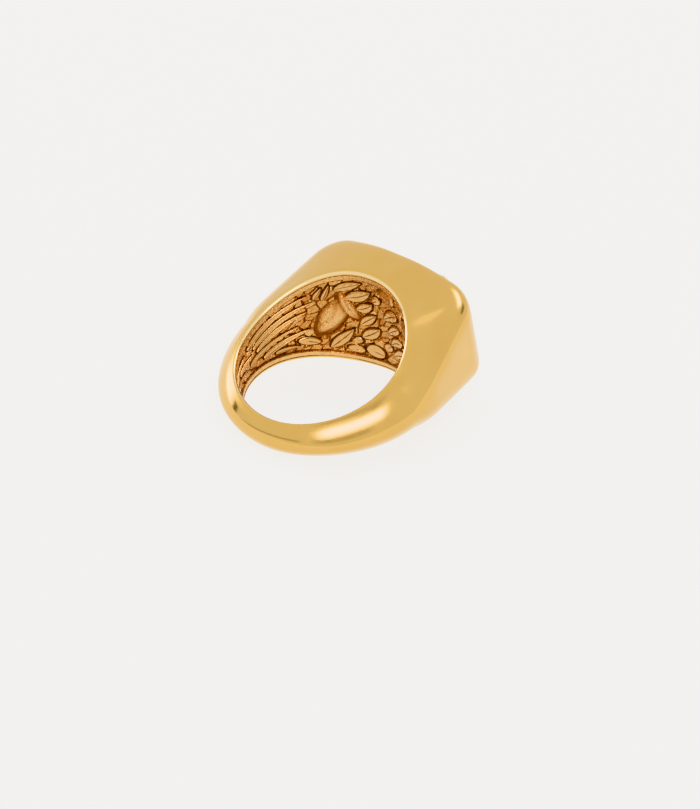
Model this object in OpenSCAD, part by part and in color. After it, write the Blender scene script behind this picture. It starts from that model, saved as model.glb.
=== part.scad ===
// Hollow signet ring with a carved foliage lining.
// It is made the way a goldsmith builds one: a polished outer shell, a let-in face plate,
// a lining sleeve with a sunk ground, two rim wires, and relief castings soldered on the ground.
// The ring is laid out about its finger hole, with the face towards +X, and is then tilted
// about Y so that it lies at rest on its side: +Z is up and the origin is the hole's centre.

/* [Finger hole] */
// Inside diameter of the ring
bore_d = 17.2; // [14.6:0.2:21]
// Thickness of the lining sleeve
sleeve_t = 0.8; // [0.7:0.05:1]
// Depth of the sunk ground that the relief stands on
ground_depth = 0.45; // [0.25:0.05:0.5]
// Width of the plain strip left between the relief and each rim wire
border_w = 0.5; // [0.3:0.05:0.8]
// Angle from the face to each end of the sunk ground
relief_end = 138; // [125:1:145]

/* [Outline seen along the finger] */
// Distance from the finger hole's centre to the face
face_height = 13.4; // [12.8:0.1:16.1]
// Overall length of the face across the finger, with its rounded ends
face_length = 20; // [18.5:0.1:21]
// Radius of the face's rounded ends
face_end_r = 3.3; // [2.8:0.05:3.8]
// Radius of the shank's outer circle
shank_r = 11.7; // [11.4:0.1:13]
// How far the shank's circle is set towards the face
shank_shift = 1.3; // [0.9:0.05:1.6]

/* [Widths along the finger] */
// Width of the finger hole's rim at the face
rim_w_face = 12.65; // [11:0.05:14]
// Width of the rim 60 degrees from the face
rim_w_shoulder = 8.85; // [8:0.05:9.7]
// Width of the rim 120 degrees from the face
rim_w_shank = 4.95; // [4.5:0.05:5.4]
// Width of the rim at the back of the shank
rim_w_back = 3.6; // [3.3:0.05:4.4]
// Width of the outside at the face
crest_w_face = 12.85; // [11.5:0.05:14.5]
// Width of the outside 45 degrees from the face
crest_w_shoulder = 7.9; // [7:0.05:8.6]
// Width of the outside at the sides
crest_w_side = 4.5; // [4:0.05:5]
// Width of the outside 135 degrees from the face
crest_w_shank = 2.55; // [2.3:0.05:3]
// Width of the outside at the back
crest_w_back = 3.1; // [2.8:0.05:3.6]
// Angle on each side of the face's middle over which the ring keeps its full width
face_flat = 6; // [4:1:10]

/* [Section] */
// Squareness of the section at the face: 2 is an ellipse, more is squarer
square_face = 9.5; // [8:0.5:13]
// Squareness of the section at the sides
square_side = 1.9; // [1.8:0.05:2.2]
// Squareness of the section at the back
square_back = 1.85; // [1.75:0.05:2.2]
// Rounding of the finger hole's two rims
rim_round = 0.34; // [0.2:0.02:0.4]
// Height of each rim wire along the finger
wire_h = 0.42; // [0.36:0.02:0.6]

/* [Face plate] */
// Length of the face plate across the finger
plate_l = 12.6; // [10:0.1:13]
// Width of the face plate along the finger
plate_w = 10.4; // [8:0.1:10.8]
// Thickness of the face plate
plate_t = 1; // [0.7:0.05:1.2]
// Corner radius of the face plate
plate_r = 1.4; // [0.8:0.1:2]
// Wall left between the face plate and the hollow under it
plate_ledge_t = 0.7; // [0.5:0.05:0.9]
// Wall left at the sides of the hollow, along the finger
hollow_wall = 1.6; // [1.3:0.1:2]
// Angle from the face to each end of the hollow
hollow_end = 30; // [24:2:34]

/* [Fits] */
// Solder gap between the shell and what is let into it
solder_gap = 0.03; // [0.02:0.01:0.05]
// How far the relief's ridges lie below the bore, clear of the finger
top_below_bore = 0.05; // [0.03:0.01:0.08]
// Drop from a casting's ridge to its edges
relief_bevel = 0.12; // [0.08:0.02:0.14]

/* [Hidden] */

GOLD = [0.86, 0.68, 0.40];
SATIN_GOLD = [0.74, 0.50, 0.27];
STEP = 4;
SIDE_POINTS = 13;
FIELD_STEPS = 18;
MOTIF_STEPS = 10;
END_CUT = 0.01;
CUT = 1;

bore_r = bore_d / 2;
seat_r = bore_r + sleeve_t;
ground_r = bore_r + ground_depth;
MM_PER_DEGREE = bore_r * PI / 180;
crest_r = bore_r + rim_round;
end_u = face_height - face_end_r;
end_s = face_length / 2 - face_end_r;

// Cosine series through values given at equal steps from 0 to 180 degrees.
function series_term(v, j) =
    let (n = len(v) - 1)
    let (parts = [for (k = [0:n]) (k == 0 || k == n ? 0.5 : 1) * v[k] * cos(180 * j * k / n)])
    (j == 0 || j == n ? 1 : 2) / n * sum(parts);
function sum(v) = v * [for (x = v) 1];
function series(v) = [for (j = [0:len(v) - 1]) series_term(v, j)];
function wave(terms, th) = sum([for (j = [0:len(terms) - 1]) terms[j] * cos(j * th)]);
// The widths change only past the flat on each side of the face's middle.
function past_flat(th) =
    let (t = th > 180 ? 360 - th : abs(th))
    max(t - face_flat, 0) * 180 / (180 - face_flat);

rim_terms = series([rim_w_face, rim_w_shoulder, rim_w_shank, rim_w_back] / 2);
crest_terms = series([crest_w_face, crest_w_shoulder, crest_w_side, crest_w_shank, crest_w_back] / 2);
function rim_half(th) = wave(rim_terms, past_flat(th));
function crest_half(th) = wave(crest_terms, past_flat(th));
function squareness(th) =
    square_side
    + (square_face - square_side) * max(cos(th), 0)
    + (square_back - square_side) * max(-cos(th), 0);

// Outline seen along the finger: the face line, an end arc, the shoulder's tangent, the shank arc.
reach = norm([end_u - shank_shift, end_s]);
shoulder_turn = atan2(end_s, end_u - shank_shift) + acos((shank_r - face_end_r) / reach);
end_tangent = [end_u, end_s] + face_end_r * [cos(shoulder_turn), sin(shoulder_turn)];
shank_tangent = [shank_shift, 0] + shank_r * [cos(shoulder_turn), sin(shoulder_turn)];
th_face = atan2(end_s, face_height);
th_end = atan2(end_tangent.y, end_tangent.x);
th_shank = atan2(shank_tangent.y, shank_tangent.x);
function on_circle(th, c, r) =
    let (along = c * [cos(th), sin(th)])
    along + sqrt(max(r * r - c * c + along * along, 0));
function outer_radius(th) =
    let (t = abs(th > 180 ? 360 - th : th))
    t <= th_face ? face_height / cos(t)
    : t <= th_end ? on_circle(t, [end_u, end_s], face_end_r)
    : t <= th_shank ? end_tangent * [cos(shoulder_turn), sin(shoulder_turn)] / cos(t - shoulder_turn)
    : on_circle(t, [shank_shift, 0], shank_r);

// Point of the outer skin: f runs from 0 at the rim to 1 at the crest, side is 1 or -1.
function skin_point(th, f, side) =
    let (n = squareness(th))
    let (g = pow(max(1 - pow(f, n), 0), 1 / n))
    [
        crest_r + (outer_radius(th) - crest_r) * f,
        side * g * (rim_half(th) + (crest_half(th) - rim_half(th)) * f)
    ];
// Values of f spaced so that both the flank and the crest are smooth.
function skin_fraction(th, phi) = pow(sin(phi), 2 / squareness(th));
function fraction_at(th, r) = (r - crest_r) / (outer_radius(th) - crest_r);

// Place a section point [radius, height] at an angle round the finger hole.
function place(th, p) = [p.x * cos(th), p.x * sin(th), p.y];

// Skin a list of sections, each a ring of points that turns the same way.
module skin(sections, closed = false) {
    n = len(sections);
    m = len(sections[0]);
    points = [for (s = sections) each s];
    last = closed ? n - 1 : n - 2;
    sides = [
        for (i = [0:last], j = [0:m - 1])
            let (a = i * m + j, b = i * m + (j + 1) % m)
            let (c = ((i + 1) % n) * m + (j + 1) % m, d = ((i + 1) % n) * m + j)
            each [[a, b, c], [a, c, d]]
    ];
    fan = [for (j = [1:m - 2]) [2 % m, (2 + j) % m, (3 + j) % m]];
    caps = closed ? [] : [
        for (f = fan) each [[f[2], f[1], f[0]], [for (v = f) (n - 1) * m + v]]
    ];
    polyhedron(points, concat(sides, caps));
}

// A ring between two radii that ends at the rim wires.
module band(r_in, r_out) {
    skin([
        for (th = [0:STEP:360 - STEP])
            let (half = sleeve_half(th))
            [
                place(th, [r_in, -half]), place(th, [r_in, half]),
                place(th, [r_out, half]), place(th, [r_out, -half])
            ]
    ], true);
}

function sleeve_half(th) = rim_half(th) - wire_h - solder_gap;

// Depth of the hollow's roof, and half its width, at an angle from the face.
function hollow_radius(th) =
    abs(th) < hollow_end ? (face_height - plate_t - plate_ledge_t) / cos(th) : seat_r;
function hollow_half(th) = rim_half(th) - hollow_wall;

// One section of the shell: up the seat, past the hollow, over the skin and back.
function shell_section(th) =
    let (near = abs(th > 180 ? th - 360 : th))
    let (start = fraction_at(th, seat_r), first = asin(pow(start, squareness(th) / 2)))
    let (phis = [for (k = [0:SIDE_POINTS - 1]) first + (90 - first) * k / (SIDE_POINTS - 1)])
    let (roof = hollow_radius(near), hh = hollow_half(near))
    [
        for (p = [[seat_r, -hh], [roof, -hh], [roof, hh], [seat_r, hh]]) place(th, p),
        for (phi = phis) place(th, skin_point(th, skin_fraction(th, phi), 1)),
        for (k = [SIDE_POINTS - 2:-1:0]) place(th, skin_point(th, skin_fraction(th, phis[k]), -1))
    ];

module plate_shape(grow) {
    translate([face_height - plate_t, 0, 0])
        rotate([0, 90, 0])
            linear_extrude(plate_t + CUT)
                rounded_plate(plate_w + 2 * grow, plate_l + 2 * grow, plate_r + grow);
}

module rounded_plate(w, l, r) {
    square([w, l - 2 * r], center = true);
    square([w - 2 * r, l], center = true);
    for (x = [-1, 1], y = [-1, 1])
        translate([x * (w / 2 - r), y * (l / 2 - r)])
            circle(r, $fn = 48);
}

module outer_shell() {
    color(GOLD)
        difference() {
            skin([for (th = [0:STEP:360 - STEP]) shell_section(th)], true);
            plate_shape(solder_gap);
        }
}

module face_plate() {
    color(GOLD)
        intersection() {
            plate_shape(0);
            translate([0, -plate_l, -plate_w])
                cube([face_height, 2 * plate_l, 2 * plate_w]);
        }
}

module inner_sleeve() {
    color(SATIN_GOLD)
        difference() {
            intersection() {
                cylinder(h = 2 * rim_w_face, r = seat_r - solder_gap, center = true, $fn = 120);
                band(bore_r - CUT, seat_r + CUT);
            }
            cylinder(h = 2 * rim_w_face, r = bore_r, center = true, $fn = 120);
            sunk_ground();
        }
}

// The ground is sunk all over the relief's field, apart from the mounds cast with the sleeve.
module sunk_ground() {
    difference() {
        intersection() {
            cylinder(h = 2 * rim_w_face, r = ground_r, center = true, $fn = 120);
            field_prism();
        }
        for (m = [for (m = MOUNDS) each [m, turned(m)]])
            mound(m);
    }
}

// The relief's field seen from the side: it keeps the border's width from the rim wires.
module field_prism() {
    angles = [for (k = [0:FIELD_STEPS]) relief_end * k / FIELD_STEPS];
    edge = [for (th = angles) [bore_r * cos(th), sleeve_half(th) - border_w]];
    end = [bore_r + 2 * CUT, edge[0].y];
    top = concat([end], edge);
    rotate([90, 0, 0])
        linear_extrude(4 * bore_r, center = true)
            polygon(concat(top, [for (k = [len(top) - 1:-1:0]) [top[k].x, -top[k].y]]));
}

// An oval island standing up from the ground.
module mound(m) {
    lean = atan2((m[0] - m[2]) * MM_PER_DEGREE, m[3] - m[1]);
    long = norm([(m[0] - m[2]) * MM_PER_DEGREE, m[3] - m[1]]);
    translate([0, 0, (m[1] + m[3]) / 2])
        rotate([0, 90, (m[0] + m[2]) / 2])
            rotate([0, 0, lean])
                linear_extrude(2 * bore_r)
                    polygon([for (k = [0:15:345]) [long / 2 * cos(k), m[5] / 2 * sin(k)]]);
}

// A rim wire fills the corner between the sleeve's edge and the skin, with its bore edge rounded.
function rim_edge(th, t) = [crest_r - rim_round * cos(t), rim_half(th) - rim_round * (1 - sin(t))];
function wire_section(th) =
    let (low = rim_half(th) - wire_h, outer_f = fraction_at(th, seat_r - solder_gap))
    [
        [seat_r - solder_gap, low], [bore_r, low],
        for (t = [0:22.5:90]) rim_edge(th, t),
        for (k = [1:3]) skin_point(th, outer_f * k / 3, 1)
    ];

module rim_wire(side) {
    mirror([0, 0, side > 0 ? 0 : 1])
        skin([
            for (th = [0:STEP:360 - STEP])
                [for (p = wire_section(th)) place(th, p)]
        ], true);
}

module rim_wire_upper() {
    color(GOLD)
        rim_wire(1);
}

module rim_wire_lower() {
    color(GOLD)
        rim_wire(-1);
}

// Relief castings. Each motif is [start angle, start height, end angle, end height, bow, width, form].
// Its middle line is a parabola with the given bow, and its width follows its form.
// Each motif has a twin, turned half round about the line from the hole's centre to the face's.
BLADE = 0;
LEAF = 1;
STONE = 2;
MOUNDS = [
    [46, -2.1, 28, 1.9, 0, 2.7, STONE],
    [30, 3, 19.5, -0.5, 0, 1.5, STONE]
];
BLADES = [
    [134, 0.45, 107, 1, 0.05, 0.42, BLADE],
    [132, -0.45, 109, -0.8, -0.05, 0.42, BLADE],
    [121, 0, 100, 0.1, 0.1, 0.55, BLADE],
    [104, 1.15, 50, 3.3, 0.12, 0.75, BLADE],
    [98, 0.5, 47.5, 2.38, 0.12, 0.72, BLADE],
    [95, -0.2, 52, 1.3, 0.05, 0.68, BLADE],
    [104, -0.88, 60, -0.24, 0.12, 0.6, BLADE],
    [90, -1.65, 52, -1, 0.1, 0.75, BLADE],
    [80, -2.15, 61, -2.8, -0.05, 0.5, BLADE],
    [46.5, 2.75, 40, 4, 0.05, 0.55, BLADE],
    [41, 2.5, 34.5, 4.3, 0.05, 0.55, BLADE]
];
LEAVES = [
    [31.5, 3.75, 11, 4.9, 0.12, 1.05, LEAF],
    [25, 2.65, 5, 4, 0.3, 1.4, LEAF],
    [18.5, 1.25, 5.6, 2.4, 0.25, 1.2, LEAF],
    [17.5, -0.8, 3.5, 0.95, 0, 1.1, LEAF],
    [41.5, -3.9, 23, -1.5, 0.15, 1.3, LEAF],
    [18, -2.5, 2.5, -0.8, 0.15, 1.35, LEAF]
];
STONES = [
    [62, -2.1, 47.5, -3, 0, 1, STONE],
    [30, -4.1, 18.5, -4.5, 0, 1, STONE],
    [17, -4.2, 3, -4.35, 0, 1.8, STONE],
    [25.5, -3.15, 18.5, -3, 0, 0.85, STONE],
    [1, -3.45, -4.5, -2.6, 0, 1, STONE]
];
function turned(m) = [-m[0], -m[1], -m[2], -m[3], m[4], m[5], m[6]];

// Share of the full width along a motif, t from 0 to 1.
function form_width(form, t) =
    form == BLADE ? pow(sin(180 * pow(t, 0.6)), 0.7)
    : form == LEAF ? pow(sin(180 * pow(t, 0.75)), 0.9)
    : sqrt(max(1 - pow(2 * t - 1, 2), 0));

// Centre line of a motif on the developed sleeve, in mm of arc and mm of height.
function motif_line(m, t) =
    let (a = [m[0] * MM_PER_DEGREE, m[1]], b = [m[2] * MM_PER_DEGREE, m[3]], d = b - a)
    a + d * t + [-d.y, d.x] / norm(d) * m[4] * 4 * t * (1 - t);
function motif_side(m, t) =
    let (d = motif_line(m, t + 0.01) - motif_line(m, t - 0.01))
    [-d.y, d.x] / norm(d);

// A casting that stands on the ground, with bevelled sides up to a ridge along its middle.
module motif(m) {
    top_r = bore_r + top_below_bore;
    skin([
        for (i = [0:MOTIF_STEPS])
            let (t = END_CUT + (1 - 2 * END_CUT) * i / MOTIF_STEPS)
            let (c = motif_line(m, t), out = motif_side(m, t) * m[5] / 2 * form_width(m[6], t))
            let (l = c - out, r = c + out)
            let (tl = l.x / MM_PER_DEGREE, tc = c.x / MM_PER_DEGREE, tr = r.x / MM_PER_DEGREE)
            [
                place(tl, [ground_r, l.y]), place(tl, [top_r + relief_bevel, l.y]),
                place(tc, [top_r, c.y]),
                place(tr, [top_r + relief_bevel, r.y]), place(tr, [ground_r, r.y])
            ]
    ]);
}

module relief(list) {
    for (m = list) {
        motif(m);
        motif(turned(m));
    }
}

module relief_blades() {
    color(SATIN_GOLD)
        relief(BLADES);
}

module relief_leaves() {
    color(SATIN_GOLD)
        relief(LEAVES);
}

module relief_stones() {
    color(SATIN_GOLD)
        relief(STONES);
}

// Tilt at rest: the common tangent under the face's lower rim and the back of the shank.
function low_points(th) = [
    for (p = [
        for (t = [45:22.5:90]) rim_edge(th, t),
        for (phi = [0:6:90]) skin_point(th, skin_fraction(th, phi), 1)
    ])
        [p.x * cos(th), -p.y]
];
tilt = max([
    for (th = [0:STEP:24], h = low_points(th))
        min([for (b = low_points(180)) atan2(b.y - h.y, h.x - b.x)])
]);

module at_rest() {
    rotate([0, -tilt, 0])
        children();
}

at_rest() outer_shell();
at_rest() face_plate();
at_rest() inner_sleeve();
at_rest() rim_wire_upper();
at_rest() rim_wire_lower();
at_rest() relief_blades();
at_rest() relief_leaves();
at_rest() relief_stones();
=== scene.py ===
import logging
import math
from dataclasses import dataclass, field
from enum import Enum
from typing import Any

import bpy
import numpy as np
from mathutils import Matrix, Vector


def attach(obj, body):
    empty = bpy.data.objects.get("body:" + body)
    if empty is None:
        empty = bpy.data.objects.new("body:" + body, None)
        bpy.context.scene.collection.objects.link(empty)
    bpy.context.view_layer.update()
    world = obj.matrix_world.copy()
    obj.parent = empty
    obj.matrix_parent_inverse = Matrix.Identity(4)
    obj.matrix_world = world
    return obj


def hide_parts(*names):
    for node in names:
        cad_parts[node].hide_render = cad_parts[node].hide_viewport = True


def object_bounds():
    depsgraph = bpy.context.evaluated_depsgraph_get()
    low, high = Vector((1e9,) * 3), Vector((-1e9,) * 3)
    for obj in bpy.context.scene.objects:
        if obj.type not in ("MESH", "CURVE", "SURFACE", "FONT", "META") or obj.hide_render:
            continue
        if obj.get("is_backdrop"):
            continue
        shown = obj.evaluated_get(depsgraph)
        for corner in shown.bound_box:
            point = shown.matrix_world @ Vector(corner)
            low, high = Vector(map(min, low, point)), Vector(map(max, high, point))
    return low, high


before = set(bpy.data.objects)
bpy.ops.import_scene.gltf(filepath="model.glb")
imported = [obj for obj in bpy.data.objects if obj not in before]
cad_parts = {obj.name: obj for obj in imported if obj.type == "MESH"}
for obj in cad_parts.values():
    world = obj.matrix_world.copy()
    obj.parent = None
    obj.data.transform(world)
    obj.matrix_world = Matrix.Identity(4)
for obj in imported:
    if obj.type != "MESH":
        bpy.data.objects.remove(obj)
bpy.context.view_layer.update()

LOG = logging.getLogger("signet_ring")
MM = 0.001
FAR = 9.0  # mm, past any distance between neighbours on the lining
SHARP_ANGLE = math.radians(38.0)
Grid = np.ndarray


class Side(Enum):
    """Which of the finger hole's two rims a piece belongs to."""

    UPPER = 1
    LOWER = -1


class Form(Enum):
    """Outline of a relief casting."""

    BLADE = "blade"
    LEAF = "leaf"
    STONE = "stone"


def smooth(low: float, high: float, value: Grid) -> Grid:
    """Smooth step: 0 below low, 1 above high, 3t^2 - 2t^3 between.

    Args:
        low: Value where the step starts.
        high: Value where the step ends.
        value: Array to map.

    Returns:
        The mapped array, between 0 and 1.
    """
    t = np.clip((value - low) / (high - low), 0.0, 1.0)
    return t * t * (3.0 - 2.0 * t)


def superellipse(angle: Grid, power: Grid) -> tuple[Grid, Grid]:
    """Unit superellipse at a polar angle: r = (|cos|^n + |sin|^n)^(-1/n), then r cos and r sin.

    Args:
        angle: Polar angle in radians.
        power: Exponent n, 2 for a circle and more for a squarer form.

    Returns:
        The two coordinates, along angle 0 and along a quarter turn.
    """
    c, s = np.cos(angle), np.sin(angle)
    r = (np.abs(c) ** power + np.abs(s) ** power) ** (-1.0 / power)
    return r * c, r * s


def cosine_series(values: tuple[float, ...]) -> Grid:
    """Cosine terms of the smooth curve through values at equal steps from 0 to half a turn.

    Args:
        values: The values, from the first step to the last.

    Returns:
        The factor of each cosine, from the constant term on.
    """
    v = np.asarray(values)
    n = len(v) - 1
    k = np.arange(n + 1)
    ends = np.where((k == 0) | (k == n), 0.5, 1.0)
    table = np.cos(math.pi * np.outer(k, k) / n)
    return 2.0 / n * ends * (table @ (ends * v))


@dataclass(frozen=True)
class RingForm:
    """Sizes of the ring in millimetres, laid out about the finger hole with the face along +U.

    A point is (U, S, A): towards the face, across it, and along the finger hole.

    Attributes:
        bore_r: Radius of the finger hole.
        sleeve_t: Thickness of the lining with its seat.
        ground_depth: Depth of the relief's sunk ground.
        border_w: Width of the lining's plain borders.
        relief_end: Degrees from the face at which the relief ends.
        face_height: Height of the face above the hole's centre.
        face_length: Length of the head across the finger.
        face_end_r: Radius at the head's two ends.
        shank_r: Outer radius of the shank.
        shank_shift: Shift of the shank's circle towards the face.
        rim_widths: Widths of the hole's rim at equal steps from the face to the back.
        crest_widths: Widths of the skin at its crest, likewise.
        face_flat: Degrees each side of the face and the back over which the widths stay even.
        squareness: Superellipse power of the section at the face, the sides and the back.
        side_ease: Share of a turn's cosine over which the squareness sets in past the sides.
        rim_round: Radius of the rounded rim.
        wire_h: Height of a rim wire along the hole.
        solder_gap: Gap between pieces that are soldered.
        rest_tilt: Degrees by which the ring leans when it lies on its side.
    """

    bore_r: float = 8.6
    sleeve_t: float = 0.8
    ground_depth: float = 0.45
    border_w: float = 0.5
    relief_end: float = 138.0
    face_height: float = 13.4
    face_length: float = 20.0
    face_end_r: float = 3.3
    shank_r: float = 11.7
    shank_shift: float = 1.3
    rim_widths: tuple[float, ...] = (12.65, 8.85, 4.95, 3.6)
    crest_widths: tuple[float, ...] = (12.85, 7.9, 4.5, 2.55, 3.1)
    face_flat: float = 6.0
    squareness: tuple[float, float, float] = (9.5, 1.9, 1.85)
    side_ease: float = 0.12
    rim_round: float = 0.34
    wire_h: float = 0.42
    solder_gap: float = 0.03
    rest_tilt: float = 14.288

    @property
    def crest_r(self) -> float:
        """Radius at which the outer skin starts, at the rim."""
        return self.bore_r + self.rim_round

    @property
    def seat_r(self) -> float:
        """Radius of the seat between the shell and the lining."""
        return self.bore_r + self.sleeve_t

    @property
    def ground_r(self) -> float:
        """Radius of the sunk ground."""
        return self.bore_r + self.ground_depth

    @property
    def pitch(self) -> float:
        """Millimetres of arc on the bore in a degree."""
        return self.bore_r * math.pi / 180.0

    def half_width(self, widths: tuple[float, ...], turn: Grid) -> Grid:
        """Half a width at a turn from the face: a cosine series past the flat on each side.

        Args:
            widths: Full widths at equal steps from the face to the back.
            turn: Angle from the face's middle in radians.

        Returns:
            Half the width in mm.
        """
        flat = math.radians(self.face_flat)
        off = np.abs((turn + math.pi) % (2.0 * math.pi) - math.pi)
        past = np.maximum(off - flat, 0.0) * math.pi / (math.pi - flat)
        terms = cosine_series(widths) / 2.0
        return sum(term * np.cos(j * past) for j, term in enumerate(terms))

    def rim_half(self, turn: Grid) -> Grid:
        """Half the width of the finger hole's rim."""
        return self.half_width(self.rim_widths, turn)

    def sleeve_half(self, turn: Grid) -> Grid:
        """Half the width of the lining, which ends at the rim wires."""
        return self.rim_half(turn) - self.wire_h - self.solder_gap

    def power(self, turn: Grid) -> Grid:
        """Squareness of the section: from the sides' value towards the face's or the back's.

        Towards the face the share is (1 + ease) c^2 / (c + ease), which leaves the sides gently.

        Args:
            turn: Angle from the face's middle in radians.

        Returns:
            The superellipse power at each turn.
        """
        face, side, back = self.squareness
        c = np.cos(turn)
        ahead = np.maximum(c, 0.0)
        ahead = (1.0 + self.side_ease) * ahead**2 / (ahead + self.side_ease)
        return side + (face - side) * ahead + (back - side) * np.maximum(-c, 0.0)

    def outer_radius(self, turn: Grid) -> Grid:
        """Outline seen along the finger: face line, end arc, shoulder tangent, then shank arc.

        Args:
            turn: Angle from the face's middle in radians.

        Returns:
            Distance from the hole's centre to the outline in mm.
        """
        t = np.abs((turn + math.pi) % (2.0 * math.pi) - math.pi)
        end = np.array([self.face_height - self.face_end_r, self.face_length / 2 - self.face_end_r])
        reach = math.hypot(end[0] - self.shank_shift, end[1])
        lean = math.atan2(end[1], end[0] - self.shank_shift) + math.acos(
            (self.shank_r - self.face_end_r) / reach
        )
        ray = np.array([math.cos(lean), math.sin(lean)])
        top = end + self.face_end_r * ray
        low = np.array([self.shank_shift, 0.0]) + self.shank_r * ray

        def circle(centre: Grid, radius: float) -> Grid:
            """Distance along each turn to the far side of a circle."""
            along = centre[0] * np.cos(t) + centre[1] * np.sin(t)
            return along + np.sqrt(np.maximum(radius**2 - centre @ centre + along**2, 0.0))

        stops = [
            t <= math.atan2(end[1], self.face_height),
            t <= math.atan2(top[1], top[0]),
            t <= math.atan2(low[1], low[0]),
        ]
        return np.select(
            stops,
            [
                self.face_height / np.cos(t),
                circle(end, self.face_end_r),
                (top @ ray) / np.cos(t - lean),
            ],
            circle(np.array([self.shank_shift, 0.0]), self.shank_r),
        )

    def skin(self, turn: Grid, psi: Grid) -> Grid:
        """Outer skin: a superellipse from rim to crest to rim, round the hole.

        Args:
            turn: Angle from the face's middle in radians.
            psi: Polar angle in the section, 0 at the upper rim and pi at the lower.

        Returns:
            Points (U, S, A) in mm.
        """
        g, f = superellipse(psi, self.power(turn))
        rho = self.crest_r + (self.outer_radius(turn) - self.crest_r) * f
        rim, crest = self.rim_half(turn), self.half_width(self.crest_widths, turn)
        return around(turn, rho, g * (rim + (crest - rim) * f))

    def seam_psi(self, turn: Grid) -> Grid:
        """Section angle at which the skin crosses the seat's radius, where wire meets shell.

        Args:
            turn: Angle from the face's middle in radians.

        Returns:
            The angle at each turn, from the superellipse solved for its height.
        """
        f = (self.seat_r - self.crest_r) / (self.outer_radius(turn) - self.crest_r)
        n = self.power(turn)
        return np.arctan2(f, (1.0 - f**n) ** (1.0 / n))

    def at_rest(self, points: Grid) -> Grid:
        """Tilt points about S so that the ring lies on its side, and turn mm into metres.

        Args:
            points: Points (U, S, A) in mm.

        Returns:
            Points (x, y, z) in metres.
        """
        tilt = math.radians(self.rest_tilt)
        c, s = math.cos(tilt), math.sin(tilt)
        u, across, a = points[..., 0], points[..., 1], points[..., 2]
        return np.stack([u * c - a * s, across, u * s + a * c], axis=-1) * MM


def around(turn: Grid, radius: Grid, height: Grid) -> Grid:
    """Points on circles about the finger hole: radius times cos and sin of the turn, and height."""
    turn, radius, height = np.broadcast_arrays(turn, radius, height)
    return np.stack([radius * np.cos(turn), radius * np.sin(turn), height], axis=-1)


def tube_faces(rows: int, columns: int, closed: bool) -> Grid:
    """Quads of a grid whose columns close on themselves, and whose rows may too.

    Args:
        rows: Number of sections.
        columns: Points in each section.
        closed: True if the last section joins the first.

    Returns:
        An array of corner numbers, four to a face.
    """
    i, j = np.meshgrid(np.arange(rows if closed else rows - 1), np.arange(columns), indexing="ij")
    i2, j2 = (i + 1) % rows, (j + 1) % columns
    return np.stack(
        [i * columns + j, i2 * columns + j, i2 * columns + j2, i * columns + j2], axis=-1
    ).reshape(-1, 4)


def signed_volume(points: Grid, quads: Grid) -> float:
    """Volume by the divergence rule: a sixth of each triangle's triple product, summed.

    Args:
        points: Corners of the mesh.
        quads: Its faces.

    Returns:
        The volume, negative if the faces point inwards.
    """
    p = points[quads]
    total = 0.0
    for a, b, c in ((0, 1, 2), (0, 2, 3)):
        total += float(np.einsum("ij,ij->i", p[:, a], np.cross(p[:, b], p[:, c])).sum())
    return total / 6.0


@dataclass
class Skin:
    """A mesh being put together: points, quads and one value per point for each attribute."""

    points: list[Grid] = field(default_factory=list)
    quads: list[Grid] = field(default_factory=list)
    layers: dict[str, list[Grid]] = field(default_factory=dict)
    count: int = 0

    def add(self, points: Grid, closed: bool, **layers: Grid) -> None:
        """Add one closed tube, with its faces turned outwards.

        Args:
            points: Sections by columns by 3, in metres. An open tube's ends are single points.
            closed: True if the last section joins the first.
            layers: A value for each point, by attribute name.
        """
        rows, columns = points.shape[:2]
        quads = tube_faces(rows, columns, closed)
        flat = points.reshape(-1, 3)
        if signed_volume(flat, quads) < 0.0:
            quads = quads[:, ::-1]
        self.points.append(flat)
        self.quads.append(quads + self.count)
        for name, value in layers.items():
            self.layers.setdefault(name, []).append(value.reshape(rows * columns, -1))
        self.count += len(flat)

    def build(self, name: str, merge: float = 1e-7) -> bpy.types.Object:
        """Make the mesh object, with poles merged, smooth faces and sharp corners kept.

        Args:
            name: Piece name.
            merge: Distance in metres under which points become one.

        Returns:
            The new object, at the origin.
        """
        points, quads = np.concatenate(self.points), np.concatenate(self.quads)
        keys = np.round(points / merge).astype(np.int64)
        _, first, back = np.unique(keys, axis=0, return_index=True, return_inverse=True)
        quads = back.reshape(-1)[quads]
        corners = [tuple(dict.fromkeys(row)) for row in quads.tolist()]
        corners = [row for row in corners if len(row) > 2]
        mesh = bpy.data.meshes.new(name)
        mesh.from_pydata(points[first], [], corners)
        for layer, values in self.layers.items():
            data = np.concatenate(values)[first]
            kind = "FLOAT" if data.shape[1] == 1 else "FLOAT_VECTOR"
            key = "value" if kind == "FLOAT" else "vector"
            mesh.attributes.new(layer, kind, "POINT").data.foreach_set(key, data.ravel())
        mesh.update()
        shade_smooth(mesh)
        piece = bpy.data.objects.new(name, mesh)
        bpy.context.scene.collection.objects.link(piece)
        return piece


def shade_smooth(mesh: bpy.types.Mesh) -> None:
    """Shade a mesh smooth, apart from corners sharper than SHARP_ANGLE."""
    mesh.polygons.foreach_set("use_smooth", np.ones(len(mesh.polygons), dtype=bool))
    mesh.set_sharp_from_angle(angle=SHARP_ANGLE)


def blank_material(name: str) -> tuple[bpy.types.Material, bpy.types.NodeTree]:
    """Make a material with no nodes in it, and give it with its node tree."""
    made = bpy.data.materials.new(name)
    made.use_nodes = True
    made.node_tree.nodes.clear()
    return made, made.node_tree


def linear(colour: str) -> tuple[float, float, float, float]:
    """Turn an sRGB hex colour into linear light.

    Args:
        colour: Six hex digits after a hash.

    Returns:
        Red, green, blue and alpha.
    """
    parts = [int(colour[k : k + 2], 16) / 255.0 for k in (1, 3, 5)]
    light = [c / 12.92 if c <= 0.04045 else ((c + 0.055) / 1.055) ** 2.4 for c in parts]
    return (*light, 1.0)


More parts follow.
